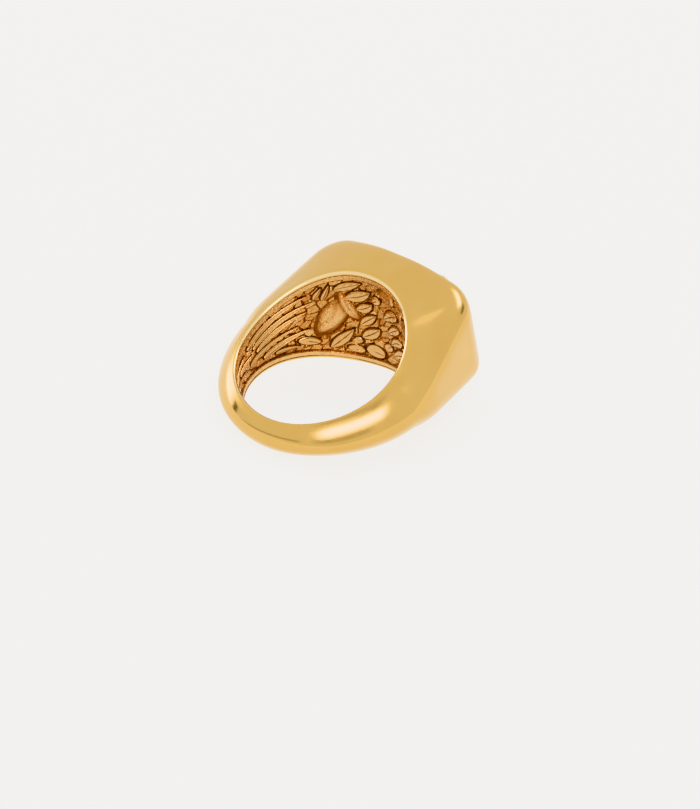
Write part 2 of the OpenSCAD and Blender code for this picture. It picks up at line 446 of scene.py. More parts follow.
def add_node(
    tree: bpy.types.NodeTree, kind: str, inputs: dict[Any, Any] | None = None, **settings: Any
) -> bpy.types.Node:
    """Add a node with its settings, values and links.

    Args:
        tree: Node tree to add to.
        kind: Blender's node type name.
        inputs: A value or an output socket for each input, by name or number.
        settings: Node properties.

    Returns:
        The new node.
    """
    made = tree.nodes.new(kind)
    for key, value in settings.items():
        setattr(made, key, value)
    for key, value in (inputs or {}).items():
        if isinstance(value, bpy.types.NodeSocket):
            tree.links.new(value, made.inputs[key])
        else:
            made.inputs[key].default_value = value
    return made


@dataclass(frozen=True)
class GoldFinish:
    """How a gold surface was finished.

    Attributes:
        name: Material name.
        light: Colour of the metal, or of its lightest tone, which carries the painted highlights.
        deep: Colour of the same metal where the tone is deepest.
        gloss: Roughness of the brightest parts.
        dull: Roughness of the dullest parts.
        grain_mm: Size of the surface's grain in mm.
        grain_um: Height of the grain in thousandths of a mm.
        speckle: How far the grain moves the painted light and tone, 0 for an even surface.
        dark: Colour of the painted shade in recesses, cuts and corners. Empty for a surface without painted
            light.
        cloud_mm: Size in mm of the slow change of tone over a surface without painted light.
        coat: Weight of a second, sharper reflection on a surface without painted light.
        coat_gloss: Roughness behind that reflection.
    """

    name: str
    light: str
    deep: str
    gloss: float
    dull: float
    grain_mm: float
    grain_um: float
    speckle: float = 0.0
    dark: str = ""
    cloud_mm: float = 3.5
    coat: float = 0.5
    coat_gloss: float = 0.06

    @property
    def has_painted_light(self) -> bool:
        """Say whether the surface has painted shade and painted highlight from its tone attribute."""
        return bool(self.dark)

    def material(self) -> bpy.types.Material:
        """Build the material from noise at the grain's size, and from the painted light attribute if it has
        one.

        Such a surface goes from its painted shade colour through deep to light as its painted light and tone
        rises from 0 to 1.

        Returns:
            The finished material.
        """
        made, tree = blank_material(self.name)
        place = add_node(tree, "ShaderNodeTexCoord").outputs["Object"]
        grain = add_node(
            tree,
            "ShaderNodeTexNoise",
            {"Vector": place, "Scale": 1.0 / (self.grain_mm * MM), "Detail": 4.0, "Roughness": 0.6},
        ).outputs["Fac"]
        if self.has_painted_light:
            # Painted shade and painted highlight come from this attribute: dark at 0, light at 1.
            rub = add_node(tree, "ShaderNodeAttribute", attribute_name="rub").outputs["Fac"]
            offset = add_node(tree, "ShaderNodeMath", {0: grain, 1: 0.5}, operation="SUBTRACT").outputs[0]
            level = add_node(
                tree, "ShaderNodeMath", {0: offset, 1: self.speckle, 2: rub}, operation="MULTIPLY_ADD"
            ).outputs[0]
            tone: Any = linear(self.light)
            for colour, (low, high) in ((self.deep, (0.6, 1.0)), (self.dark, (0.1, 0.6))):
                share = add_node(
                    tree, "ShaderNodeMapRange", {"Value": level, "From Min": low, "From Max": high}
                ).outputs["Result"]
                tone = add_node(
                    tree, "ShaderNodeMix", {"Factor": share, 6: linear(colour), 7: tone}, data_type="RGBA"
                ).outputs[2]
            ends = {"To Min": self.dull, "To Max": self.gloss}
            dullness = add_node(tree, "ShaderNodeMapRange", {"Value": level, **ends}).outputs["Result"]
        else:
            cloud = add_node(
                tree,
                "ShaderNodeTexNoise",
                {"Vector": place, "Scale": 1.0 / (self.cloud_mm * MM), "Detail": 2.0, "Roughness": 0.5},
            ).outputs["Fac"]
            tone = add_node(
                tree,
                "ShaderNodeMix",
                {"Factor": cloud, 6: linear(self.deep), 7: linear(self.light)},
                data_type="RGBA",
            ).outputs[2]
            ends = {"From Min": 0.3, "From Max": 0.7, "To Min": self.gloss, "To Max": self.dull}
            dullness = add_node(tree, "ShaderNodeMapRange", {"Value": grain, **ends}).outputs["Result"]
        bump = add_node(
            tree,
            "ShaderNodeBump",
            {"Height": grain, "Strength": 1.0, "Distance": self.grain_um * 1e-6},
        ).outputs["Normal"]
        shader = add_node(
            tree,
            "ShaderNodeBsdfPrincipled",
            {
                "Base Color": tone,
                "Metallic": 1.0,
                "Roughness": dullness,
                "Normal": bump,
                "Coat Weight": 0.0 if self.has_painted_light else self.coat,
                "Coat Roughness": self.coat_gloss,
            },
        )
        add_node(tree, "ShaderNodeOutputMaterial", {"Surface": shader.outputs[0]})
        return made


# Yellow gold alloy, buffed on a wheel: soft reflections with sharper ones over them, little grain.
POLISHED = GoldFinish("buffed_yellow_gold", "#E5BD72", "#DFB363", 0.1, 0.15, 0.5, 0.3)
# The same gold, lapped flat on a plate: the clearest reflections on the ring.
LAPPED = GoldFinish("lapped_yellow_gold", "#E5BD72", "#DFB363", 0.07, 0.11, 0.4, 0.2)
# Drawn wire of the same gold, with a painted highlight along each rim's crown and painted shade in its
# corner beside the lining.
WIRE = GoldFinish("gold_wire_painted_light", "#FBE2AE", "#E2B86A", 0.14, 0.2, 0.3, 0.5, 0.04, "#8A4A18")
# Sand-matted ground: brown painted shade in the recesses and cuts, tan on the high parts, with a painted
# highlight on the mounds' crests.
# The size and height of its grain are guesses, large enough to show from the camera.
MATTED = GoldFinish("matted_gold_painted_light", "#EDC184", "#D99E5C", 0.17, 0.42, 0.3, 150.0, 1.0, "#90501F")
# Chased castings: satin tops, with painted shade in the cut lines, over the outer edges and on the walls.
# Their grain is a guess too.
CHASED = GoldFinish("chased_satin_gold", "#E0B378", "#D29C5C", 0.16, 0.34, 0.25, 25.0, 0.4, "#7C4018")


class Dresser:
    """Keeps one material for each finish and ties each piece to the frame."""

    def __init__(self) -> None:
        """Start with no materials."""
        self.made: dict[str, bpy.types.Material] = {}

    def dress(self, piece: bpy.types.Object, finish: GoldFinish, node: str, slot: str) -> None:
        """Give a piece its material, tie it to the frame and hide the CAD node that it stands for.

        Args:
            piece: Finished object.
            finish: How its surface is finished.
            node: CAD node that it stands for.
            slot: The record's material slot. Not used.
        """
        if finish.name not in self.made:
            self.made[finish.name] = finish.material()
        piece.data.materials.clear()
        piece.data.materials.append(self.made[finish.name])
        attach(piece, "root")
        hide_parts(node)
        LOG.info("%s: %d faces, %s", piece.name, len(piece.data.polygons), finish.name)


@dataclass
class OuterShell:
    """The polished body of the ring, open inside where the lining sits.

    Attributes:
        form: Sizes of the ring.
        plate: Face plate, whose place is let into the shell.
        sections: Sections round the hole.
        columns: Points over the skin in each section.
        crest_share: Share of an even spread in how the points crowd towards the crest.
    """

    form: RingForm
    plate: "FacePlate"
    sections: int = 480
    columns: int = 104
    crest_share: float = 0.45

    def build(self) -> bpy.types.Object:
        """Carry the skin's section round the hole, close it along the seat, and let in the plate.

        The section angle runs from seam to crest as e t + (1 - e) t^3, t from -1 to 1, with the
        crest's share e, and back again on the other side.

        Returns:
            The shell.
        """
        turn = np.linspace(0.0, 2.0 * math.pi, self.sections, endpoint=False)[:, None]
        quarter = np.linspace(-1.0, 1.0, self.columns // 2)
        even = self.crest_share
        spread = 0.5 * (1.0 + quarter * (even + (1.0 - even) * quarter**2))
        start = self.form.seam_psi(turn)
        first = start + (math.pi / 2.0 - start) * spread
        psi = np.concatenate([first, math.pi - first[:, -2::-1]], axis=1)
        skin = self.form.skin(turn, psi)
        edge = skin[:, [-1, 0], 2]
        seat_height = edge[:, :1] + (edge[:, 1:] - edge[:, :1]) * np.array([0.1, 0.5, 0.9])
        seat = around(turn, np.full((1, 3), self.form.seat_r), seat_height)
        shell = Skin()
        shell.add(self.form.at_rest(np.concatenate([skin, seat], axis=1)), closed=True)
        piece = shell.build("outer_shell_skin")
        self.let_in_plate(piece)
        return piece

    def let_in_plate(self, piece: bpy.types.Object) -> None:
        """Cut the face plate's recess with its outline grown by the seam.

        Args:
            piece: The shell, changed in place.
        """
        over = self.form.face_height + self.plate.thickness
        cutter = self.plate.prism("plate_recess", grow=self.plate.seam, top=over, bevel=0.0)
        cut = piece.modifiers.new("recess", "BOOLEAN")
        cut.object, cut.operation, cut.solver = cutter, "DIFFERENCE", "EXACT"
        graph = bpy.context.evaluated_depsgraph_get()
        mesh = bpy.data.meshes.new_from_object(piece.evaluated_get(graph))
        piece.modifiers.clear()
        old, piece.data = piece.data, mesh
        mesh.name = piece.name
        bpy.data.meshes.remove(old)
        bpy.data.meshes.remove(cutter.data)
        shade_smooth(mesh)


@dataclass
class FacePlate:
    """The flat plate let into the face.

    Attributes:
        form: Sizes of the ring.
        length: Length across the finger in mm.
        width: Width along the finger in mm.
        thickness: Thickness in mm.
        corner: Corner radius in mm.
        bevel: Width of the top edge's bevel in mm.
        seam: Gap between plate and shell in mm.
    """

    form: RingForm
    length: float = 12.6
    width: float = 10.4
    thickness: float = 1.0
    corner: float = 1.4
    bevel: float = 0.07
    seam: float = 0.045

    def outline(self, shrink: float) -> Grid:
        """Rounded rectangle: each corner's centre plus its radius, a quarter turn at a time.

        Args:
            shrink: How far the outline is set in, in mm. Negative grows it.

        Returns:
            Points (S, A) in mm.
        """
        turns = np.linspace(0.0, math.pi / 2.0, 16)
        radius = self.corner - shrink
        sides = np.array([[1, 1], [-1, 1], [-1, -1], [1, -1]])
        centre = sides * np.array([self.length / 2 - self.corner, self.width / 2 - self.corner])
        angles = turns[None, :] + np.arange(4)[:, None] * math.pi / 2.0
        ring = centre[:, None, :] + radius * np.stack([np.cos(angles), np.sin(angles)], axis=-1)
        return ring.reshape(-1, 2)

    def prism(self, name: str, grow: float, top: float, bevel: float) -> bpy.types.Object:
        """Stack outlines from the plate's back to its top, closed at the middle of each face.

        Args:
            name: Object name.
            grow: How far the outline is grown, in mm.
            top: Height of the top in mm from the hole's centre.
            bevel: Width of the top edge's bevel in mm.

        Returns:
            The plate as an object.
        """
        back = self.form.face_height - self.thickness
        steps = [(0.0, back, 0.0), (1.0, back, 0.0), (1.0, top - bevel, 0.0)]
        if bevel:
            steps += [(1.0, top - 0.3 * bevel, 0.3 * bevel), (1.0, top, bevel), (0.97, top, bevel)]
        steps.append((0.0, top, 0.0))
        rings = []
        for scale, height, inset in steps:
            ring = self.outline(inset - grow) * scale
            rings.append(np.column_stack([np.full(len(ring), height), ring]))
        plate = Skin()
        plate.add(self.form.at_rest(np.stack(rings)), closed=False)
        return plate.build(name)

    def build(self) -> bpy.types.Object:
        """Make the plate with its top flush with the face."""
        return self.prism("face_plate_lapped", grow=0.0, top=self.form.face_height, bevel=self.bevel)


@dataclass
class RimWire:
    """The rounded wire along one rim of the finger hole.

    Attributes:
        form: Sizes of the ring.
        side: Which rim.
        sections: Sections round the hole.
        edge_r: Radius of the corner beside the lining in mm.
        hairline: Angle of the bead's arc at which it starts, past the hairline.
        back_depth: Depth in mm of the corner at its back.
        plain_tone: Tone of the wire away from the bead's crown.
        edge_shade: Painted shade over the corner beside the lining.
    """

    form: RingForm
    side: Side
    sections: int = 480
    edge_r: float = 0.07
    hairline: float = 0.12
    back_depth: float = 0.4
    plain_tone: float = 0.62
    edge_shade: tuple[float, ...] = (0.0, 0.1, 0.3, 0.5, 0.6)

    def build(self) -> bpy.types.Object:
        """Carry the wire's section round the rim.

        The section runs up the bore face from a rounded lower corner, past a hairline, over a quarter
        circle, and out along the skin to the seam with the shell. Its corner beside the lining carries
        painted shade, and its crown a painted highlight.

        Returns:
            The wire.
        """
        form, edge = self.form, self.edge_r
        turn = np.linspace(0.0, 2.0 * math.pi, self.sections, endpoint=False)[:, None]
        top = form.rim_half(turn)
        low, q = top - form.wire_h, form.rim_round
        corner = np.linspace(0.0, math.pi / 2.0, len(self.edge_shade))
        bead = np.linspace(self.hairline, math.pi / 2.0, 14)
        face = around(turn, form.bore_r + edge * (1.0 - np.sin(corner)), low + edge * (1.0 - np.cos(corner)))
        crown = around(turn, form.bore_r + q - q * np.cos(bead), top - q + q * np.sin(bead))
        outer = form.skin(turn, form.seam_psi(turn) * np.linspace(0.0, 1.0, 9)[1:])
        inner = around(turn, np.array([form.seat_r, form.bore_r + self.back_depth]), low)
        points = np.concatenate([face, crown, outer, inner], axis=1)
        # Painted highlight along the bead's crown.
        painted_crown_highlight = self.plain_tone + 0.5 * np.sin(np.linspace(0.3, math.pi, len(bead))) ** 2
        plain = np.full(outer.shape[1], self.plain_tone)
        rub = np.concatenate([self.edge_shade, painted_crown_highlight, plain, [0.0, 0.0]])
        points[..., 2] *= self.side.value
        wire = Skin()
        layers = {"rub": np.broadcast_to(rub, points.shape[:2])}
        wire.add(self.form.at_rest(points), closed=True, **layers)
        return wire.build(f"rim_wire_{self.side.name.lower()}_bead")


@dataclass(frozen=True)
class Motif:
    """One relief casting, laid out on the developed lining.

    Attributes:
        start: Angle from the face in degrees and height in mm where it starts.
        end: The same where it ends.
        bow: Height of its middle line's bow in mm.
        width: Full width in mm.
        form: Its outline.
    """

    start: tuple[float, float]
    end: tuple[float, float]
    bow: float
    width: float
    form: Form

    def twin(self) -> "Motif":
        """The same motif turned half round about the line to the face."""
        a, b = self.start, self.end
        return Motif((-a[0], -a[1]), (-b[0], -b[1]), self.bow, self.width, self.form)

    def line(self, t: Grid, pitch: float) -> Grid:
        """Middle line: the chord plus a parabola across it, 4 t (1 - t) times the bow.

        Args:
            t: Share of the way along.
            pitch: Millimetres of arc in a degree.

        Returns:
            Points (arc, height) in mm.
        """
        a = np.array([self.start[0] * pitch, self.start[1]])
        b = np.array([self.end[0] * pitch, self.end[1]])
        chord = b - a
        across = np.array([-chord[1], chord[0]]) / np.hypot(*chord)
        return a + chord * t[..., None] + across * (self.bow * 4.0 * t * (1.0 - t))[..., None]

    def across(self, t: Grid, pitch: float) -> Grid:
        """Unit vector across the middle line.

        Args:
            t: Share of the way along.
            pitch: Millimetres of arc in a degree.

        Returns:
            The vector at each share.
        """
        along = self.line(t + 0.01, pitch) - self.line(t - 0.01, pitch)
        turned = np.stack([-along[..., 1], along[..., 0]], axis=-1)
        return turned / np.linalg.norm(turned, axis=-1, keepdims=True)

    def share(self, t: Grid) -> Grid:
        """Share of the full width: a skewed sine for a blade or leaf, an ellipse for a stone.

        Args:
            t: Share of the way along.

        Returns:
            The share of the width, from 0 at the points to 1.
        """
        t = np.clip(t, 0.0, 1.0)
        if self.form is Form.STONE:
            return np.sqrt(np.maximum(1.0 - (2.0 * t - 1.0) ** 2, 0.0))
        skew, fullness = (0.6, 0.7) if self.form is Form.BLADE else (0.75, 0.9)
        return np.abs(np.sin(math.pi * t**skew)) ** fullness


def motifs(form: Form, rows: list[tuple[float, ...]]) -> list[Motif]:
    """Turn rows of numbers into motifs, each followed by its twin.

    Args:
        form: Outline of them all.
        rows: Start angle, start height, end angle, end height, bow and width.

    Returns:
        The motifs.
    """
    made = [Motif((r[0], r[1]), (r[2], r[3]), r[4], r[5], form) for r in rows]
    return [m for pair in made for m in (pair, pair.twin())]


BLADES = motifs(
    Form.BLADE,
    [
        (134, 0.45, 107, 1, 0.05, 0.42),
        (132, -0.45, 109, -0.8, -0.05, 0.42),
        (121, 0, 100, 0.1, 0.1, 0.55),
        (104, 1.15, 50, 3.3, 0.12, 0.75),
        (98, 0.5, 47.5, 2.38, 0.12, 0.72),
        (95, -0.2, 52, 1.3, 0.05, 0.68),
        (104, -0.88, 60, -0.24, 0.12, 0.6),
        (90, -1.65, 52, -1, 0.1, 0.75),
        (80, -2.15, 61, -2.8, -0.05, 0.5),
        (46.5, 2.75, 40, 4, 0.05, 0.55),
        (41, 2.5, 34.5, 4.3, 0.05, 0.55),
    ],
)
LEAVES = motifs(
    Form.LEAF,
    [
        (31.5, 3.75, 11, 4.9, 0.12, 1.05),
        (25, 2.65, 5, 4, 0.3, 1.4),
        (18.5, 1.25, 5.6, 2.4, 0.25, 1.2),
        (17.5, -0.8, 3.5, 0.95, 0, 1.1),
        (41.5, -3.9, 23, -1.5, 0.15, 1.3),
        (18, -2.5, 2.5, -0.8, 0.15, 1.35),
    ],
)
STONES = motifs(
    Form.STONE,
    [
        (62, -2.1, 47.5, -3, 0, 1),
        (30, -4.1, 18.5, -4.5, 0, 1),
        (17, -4.2, 3, -4.35, 0, 1.8),
        (25.5, -3.15, 18.5, -3, 0, 0.85),
        (1, -3.45, -4.5, -2.6, 0, 1),
    ],
)
MOUNDS = motifs(Form.STONE, [(46, -2.1, 28, 1.9, 0, 2.7), (30, 3, 19.5, -0.5, 0, 1.5)])


@dataclass
class Relief:
    """The castings of one kind that stand on the lining's ground.

    Attributes:
        form: Sizes of the ring.
        name: Piece name.
        castings: Motifs of this kind.
        top_drop: How far the ridges lie below the bore, in mm.
        bevel: Drop from ridge to edge, in mm.
        cut_depth: Depth of the cut lines in mm.
        foot: How far a casting's foot is sunk in the ground, in mm.
        veins: Veins of a leaf, and notches of its edge.
        columns: Points over a casting's top in each section.
    """

    form: RingForm
    name: str
    castings: list[Motif]
    top_drop: float = 0.05
    bevel: float = 0.12
    cut_depth: float = 0.07
    foot: float = 0.01
    veins: float = 4.0
    columns: int = 31

    def drop(self, motif: Motif, t: Grid, v: Grid) -> tuple[Grid, Grid]:
        """Drop of the carved top below its ridge, and its painted light and tone.

        A cut line is a bell curve, exp(-(distance / width)^2), faded out by smooth steps. A blade is
        flat with one cut along it. A leaf has a cut midrib, and a vein wherever n (t - 0.25 |v|) is
        whole, for n veins. A stone is a low dome with one slanting cut.

        Args:
            motif: The casting.
            t: Share of the way along.
            v: Share of the way from the middle line to an edge, -1 to 1.

        Returns:
            The drop in mm, and the painted light and tone from 0 to 1.
        """
        edge = np.abs(v)
        if motif.form is Form.BLADE:
            cut = np.exp(-(((v - 0.25) / 0.12) ** 2)) * smooth(0.0, 0.12, t) * smooth(0.0, 0.2, 1 - t)
            drop = self.bevel * (0.1 * edge + 0.9 * edge**8) + self.cut_depth * cut
        elif motif.form is Form.LEAF:
            phase = self.veins * (t - 0.25 * edge)
            vein = np.exp(-(((phase - np.round(phase)) / 0.06) ** 2)) * smooth(0.1, 0.3, edge)
            rib = np.exp(-((v / 0.07) ** 2)) * smooth(0.0, 0.1, 1.0 - t)
            cut = np.maximum(0.6 * vein * smooth(0.1, 0.3, t), rib)
            drop = self.bevel * (0.1 * edge**2 + 0.9 * edge**10) + self.cut_depth * cut
        else:
            bend = v - 0.5 * (t - 0.5)
            cut = np.exp(-((bend / 0.08) ** 2)) * smooth(0.25, 0.6, t)
            drop = self.bevel * (0.5 * edge**2 + 0.5 * edge**6) + self.cut_depth * cut
            drop += self.bevel * 0.6 * (2.0 * t - 1.0) ** 6
        # Painted shade in the cut lines and over each casting's outer edge.
        rub = (1.0 - 0.95 * cut) * (1.0 - 0.55 * smooth(0.86, 1.0, edge))
        return drop, rub

    def casting(self, motif: Motif, skin: Skin, steps: int) -> None:
        """Carry the casting's section along its middle line, from point to point.

        Args:
            motif: The casting.
            skin: Mesh that it joins.
            steps: Sections along it.
        """
        pitch = self.form.pitch
        t = 0.5 - 0.5 * np.cos(math.pi * np.linspace(0.0, 1.0, steps))[:, None]
        v = np.sin(math.pi / 2.0 * np.linspace(-1.0, 1.0, self.columns))[None, :]
        t, v = np.broadcast_arrays(t, v)
        notch = 1.0
        if motif.form is Form.LEAF:
            notch = 1.0 - 0.06 * np.abs(np.sin(math.pi * self.veins * (t - 0.25)))
        reach = motif.width / 2.0 * motif.share(t) * notch
        flat = motif.line(t, pitch) + motif.across(t, pitch) * (v * reach)[..., None]
        drop, rub = self.drop(motif, t, v)
        top = around(np.radians(flat[..., 0] / pitch), self.form.bore_r + self.top_drop + drop, flat[..., 1])
        ends = flat[:, [-1, 0]]
        wall_r = np.array([self.form.ground_r + self.foot])
        wall = around(np.radians(ends[..., 0] / pitch), wall_r, ends[..., 1])
        points = np.concatenate([top, wall], axis=1)
        # Painted shade, full, on the walls.
        rub = np.concatenate([rub, np.zeros((steps, 2))], axis=1)
        points[0], points[-1] = points[0].mean(axis=0), points[-1].mean(axis=0)
        skin.add(self.form.at_rest(points), closed=False, rub=rub)

    def build(self) -> bpy.types.Object:
        """Put every casting of this kind into one piece.

        Returns:
            The piece.
        """
        skin = Skin()
        for motif in self.castings:
            self.casting(motif, skin, 40 if motif.form is Form.STONE else 64)
        return skin.build(self.name)


@dataclass
class Lining:
    """The sleeve inside the ring: plain borders, a sunk ground, mounds and low carving.

    Attributes:
        form: Sizes of the ring.
        mounds: Rounded islands cast with the sleeve.
        castings: Everything that stands on the ground, for the shade round its edges.
        sections: Sections round the hole.
        columns: Points over the bore face in each section.
        cell: Spacing of the mosaic's plates along the arc and up the hole, in mm.
        plate_rise: Height of the lowest plate, and what the highest has over it, in mm.
        mound_drop: How far the mounds' tops lie below the bore, in mm.
        edge_r: Radius of the edges beside the wires in mm.
        edge_shade: Painted shade over those edges.
    """

    form: RingForm
    mounds: list[Motif]
    castings: list[Motif]
    sections: int = 640
    columns: int = 130
    cell: tuple[float, float] = (1.25, 0.85)
    plate_rise: tuple[float, float] = (0.2, 0.13)
    mound_drop: float = 0.02
    edge_r: float = 0.07
    edge_shade: tuple[float, ...] = (0.0, 0.25, 0.7)

    def cells(self, arc: Grid, height: Grid) -> tuple[Grid, Grid]:
        """Plates of a mosaic: distance to the edge between the two nearest seeds, and plate number.

        One seed stands in each cell of a grid bent by sines, moved by the fraction of a large sine
        of the cell's own numbers, which gives the same plates on each run.

        Args:
            arc: Arc in mm.
            height: Height in mm.

        Returns:
            Distance to the nearest cut in mm, and a number from 0 to 1 for each plate.
        """
        step_a, step_h = self.cell
        x = arc + 0.25 * np.sin(1.9 * height) + 0.5 * height
        y = height + 0.2 * np.sin(1.3 * arc)
        i, j = np.floor(x / step_a), np.floor(y / step_h)
        near, next_, tag = np.full(x.shape, FAR), np.full(x.shape, FAR), np.zeros(x.shape)
        for di in (-1, 0, 1):
            for dj in (-1, 0, 1):
                a, b = i + di, j + dj
                move_a = np.modf(np.abs(np.sin(a * 12.99 + b * 78.23) * 437.58))[0]
                move_b = np.modf(np.abs(np.sin(a * 39.35 + b * 11.13) * 753.71))[0]
                gap = np.hypot(
                    x - (a + 0.15 + 0.7 * move_a) * step_a, y - (b + 0.15 + 0.7 * move_b) * step_h
                )
                closer = gap < near
                next_ = np.where(closer, near, np.minimum(next_, gap))
                tag = np.where(closer, move_a, tag)
                near = np.minimum(near, gap)
        return (next_ - near) / 2.0, tag

    def clearance(self, arc: Grid, height: Grid) -> Grid:
        """Distance from each point to the nearest casting's edge, in mm, negative inside one.

        It is the distance to the nearest of 24 points of a middle line, less half the width there.

        Args:
            arc: Arc in mm.
            height: Height in mm.

        Returns:
            The distance in mm.
        """
        best = np.full(arc.shape, FAR)
        t = np.linspace(0.02, 0.98, 24)
        for motif in self.castings:
            line, half = motif.line(t, self.form.pitch), motif.width / 2.0 * motif.share(t)
            for (x, y), reach in zip(line, half):
                best = np.minimum(best, np.hypot(arc - x, height - y) - reach)
        return best

    def carve(self, turn: Grid, height: Grid) -> tuple[Grid, Grid]:
        """Depth of the lining below the bore, and its painted light and tone.

        Smooth steps bring the plates down beside a cut, a casting or the border. Painted shade fills the
        sunk ground and the cuts, a painted highlight rises on each mound's crest, and bell curves paint
        shade at the foot of each mound and of the border.

        Args:
            turn: Angle from the face in radians.
            height: Height along the hole in mm.

        Returns:
            The depth in mm, and the painted light and tone from 0 to 1.
        """
        form, pitch = self.form, self.form.pitch
        degrees = np.degrees((turn + math.pi) % (2.0 * math.pi) - math.pi)
        arc = degrees * pitch
        border = form.sleeve_half(turn) - form.border_w
        inside = np.minimum(border - np.abs(height), (form.relief_end - np.abs(degrees)) * pitch)
        sunk = smooth(0.0, 0.12, inside)
        cut, tag = self.cells(arc, height)
        clear = self.clearance(arc, height)
        plates = smooth(0.015, 0.075, cut) * smooth(0.03, 0.12, clear) * smooth(0.08, 0.2, inside)
        raised = plates * (self.plate_rise[0] + self.plate_rise[1] * tag)
        # Painted shade at 0.1 in the sunk ground and the cuts; each plate lighter by its own random tone.
        rub = 0.1 + plates * (0.5 + 0.35 * tag)
        depth = form.ground_depth - raised
        for motif in self.mounds:
            dome, crest = self.mound(motif, arc, height)
            depth = np.minimum(depth, form.ground_depth * (1.0 - dome) + self.mound_drop)
            # Painted highlight towards each mound's crest.
            rub = np.where(crest > 0.0, np.maximum(crest, 0.25), rub)
            # Painted shade round the foot of each mound.
            foot_shade = np.exp(-(((dome - 0.05) / 0.08) ** 2)) * (dome > 0.0)
            rub = rub * (1.0 - 0.8 * foot_shade)
        rub = rub * sunk + 1.0 - sunk
        # Painted shade at the foot of the border.
        rub = rub * (1.0 - 0.75 * np.exp(-(((inside - 0.06) / 0.07) ** 2)))
        return depth * sunk, rub

    def mound(self, motif: Motif, arc: Grid, height: Grid) -> tuple[Grid, Grid]:
        """Rounded island: height (1 - r^2)^0.5, its outline lobed by sines, furrowed along its length.

        Args:
            motif: The island's place and width.
            arc: Arc in mm.
            height: Height in mm.

        Returns:
            Its height from 0 to 1, and its tone with a painted highlight towards the crest, 0 outside it.
        """
        a, b = motif.line(np.array([0.0, 1.0]), self.form.pitch)
        long = np.hypot(*(b - a))
        along, (x, y) = (b - a) / long, (arc - (a[0] + b[0]) / 2.0, height - (a[1] + b[1]) / 2.0)
        p = (x * along[0] + y * along[1]) / (long / 2.0)
        q = (x * -along[1] + y * along[0]) / (motif.width / 2.0)
        lobes = np.arctan2(q, p)
        r2 = (p * p + q * q) * (1.06 + 0.1 * np.sin(3.0 * lobes + 1.0) + 0.06 * np.sin(5.0 * lobes))
        dome = np.sqrt(np.maximum(1.0 - r2, 0.0))
        furrow = 0.5 + 0.5 * np.cos(6.0 * (q + 0.6 * p * p - 0.25 * p) + 0.8)
        dome = dome * (1.0 - 0.28 * furrow**4)
        crest = np.where(r2 < 1.0, 0.35 + 0.65 * smooth(0.3, 0.95, dome), 0.0)
        return dome, crest

    def build(self) -> bpy.types.Object:
        """Lay a fine grid over the bore face, round its edges, and close it along the seat.

        Returns:
            The lining.
        """
        form = self.form
        turn = np.linspace(0.0, 2.0 * math.pi, self.sections, endpoint=False)[:, None]
        half = form.sleeve_half(turn)
        corner, q = np.linspace(0.0, math.pi / 2.0, len(self.edge_shade) + 1)[:-1], self.edge_r
        spread = np.linspace(-1.0, 1.0, self.columns)
        height = (half - q) * spread
        depth, rub = self.carve(turn, height)
        face = around(turn, form.bore_r + depth, height)
        low = around(turn, form.bore_r + q - q * np.sin(corner), -half + q - q * np.cos(corner))
        high = low[:, ::-1] * np.array([1.0, 1.0, -1.0])
        seat = around(turn, form.seat_r - form.solder_gap, half * np.array([1.0, 0.0, -1.0]))
        points = np.concatenate([low, face, high, seat], axis=1)
        # Painted shade over the edges beside the wires, full on the hidden seat.
        edge = np.broadcast_to(np.array(self.edge_shade), (self.sections, len(self.edge_shade)))
        rub = np.concatenate([edge, rub, edge[:, ::-1], np.zeros((self.sections, 3))], axis=1)
        skin = Skin()
        skin.add(form.at_rest(points), closed=True, rub=rub)
        return skin.build("inner_sleeve_carved")


def sight(azimuth: float, elevation: float) -> Vector:
    """Unit vector from the ring towards a place in the room.

    Args:
        azimuth: Degrees round from straight in front, which looks along +Y.
        elevation: Degrees above the horizon.

    Returns:
        The vector.
    """
    a, e = math.radians(azimuth), math.radians(elevation)
    return Vector((math.sin(a) * math.cos(e), -math.cos(a) * math.cos(e), math.sin(e)))


@dataclass(frozen=True)
class Viewpoint:
    """Where the camera stands.

    Attributes:
        azimuth: Degrees round, as for sight.
        elevation: Degrees above the horizon.
        roll: Degrees that the picture leans.
        distance: Metres from the finger hole's centre.
        lens: Focal length in mm on a 36 mm sensor.
        shift: Shift of the picture along its width and height.
    """

    azimuth: float = -48.179
    elevation: float = 31.446
    roll: float = -0.208
    distance: float = 0.25982
    lens: float = 117.287
    shift: tuple[float, float] = (0.02969, -0.03486)

    def build(self) -> None:
        """Make the camera and give it to the scene."""
        data = bpy.data.cameras.new("studio_camera")
        data.lens, data.sensor_width = self.lens, 36.0
        data.shift_x, data.shift_y = self.shift
        data.clip_start, data.clip_end = 0.01, 10.0
        camera = bpy.data.objects.new("studio_camera", data)
        back = sight(self.azimuth, self.elevation)
        turn = (-back).to_track_quat("-Z", "Y").to_matrix().to_4x4()
        lean = Matrix.Rotation(math.radians(self.roll), 4, "Z")
        camera.matrix_world = Matrix.Translation(back * self.distance) @ turn @ lean
        bpy.context.scene.collection.objects.link(camera)
        bpy.context.scene.camera = camera


